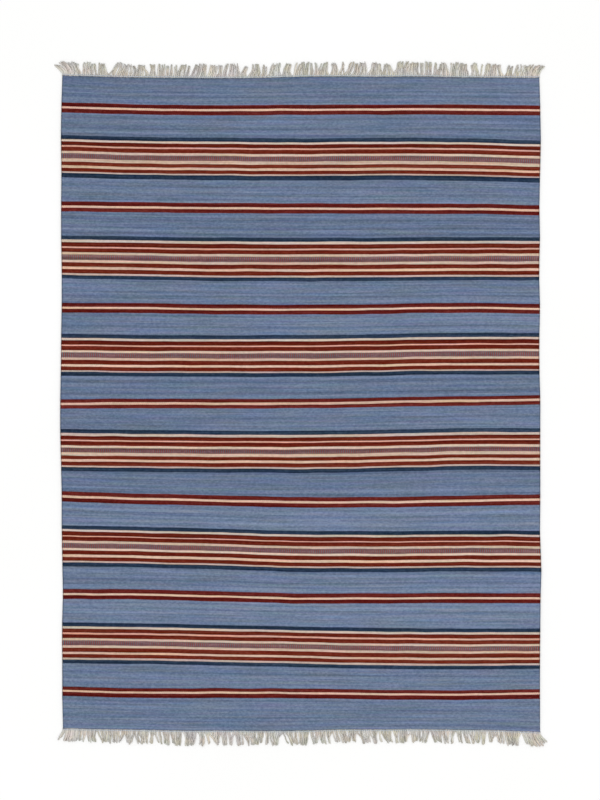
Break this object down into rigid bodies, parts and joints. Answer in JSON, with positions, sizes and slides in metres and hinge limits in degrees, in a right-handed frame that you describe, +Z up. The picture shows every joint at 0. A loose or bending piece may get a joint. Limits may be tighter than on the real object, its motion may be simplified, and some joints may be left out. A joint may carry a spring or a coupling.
{
  "type": "kilim rug",
  "caption": "Rectangular flat-woven wool rug with crosswise bands and stripes, uneven hand-woven edges and a cotton fringe at both ends.",
  "frame": {"origin": "on the floor under the middle of the rug", "axes": "+Y along the rug's length towards its head end, the top of the picture; +X across it to the right; +Z up from the floor"},
  "size_m": [1.7544, 2.4343, 0.004],
  "materials": {
    "wool_cloth": "matt hand-spun wool, weft-faced plain weave, dusty blue with brick red, cream, navy and mauve stripes",
    "cotton_fringe": "matt undyed cotton warp yarn, loosely twisted, off-white"
  },
  "bodies": {
    "root": {"woven_panel": "wool_cloth", "fringe_head": "cotton_fringe", "fringe_foot": "cotton_fringe"}
  },
  "joints": []
}
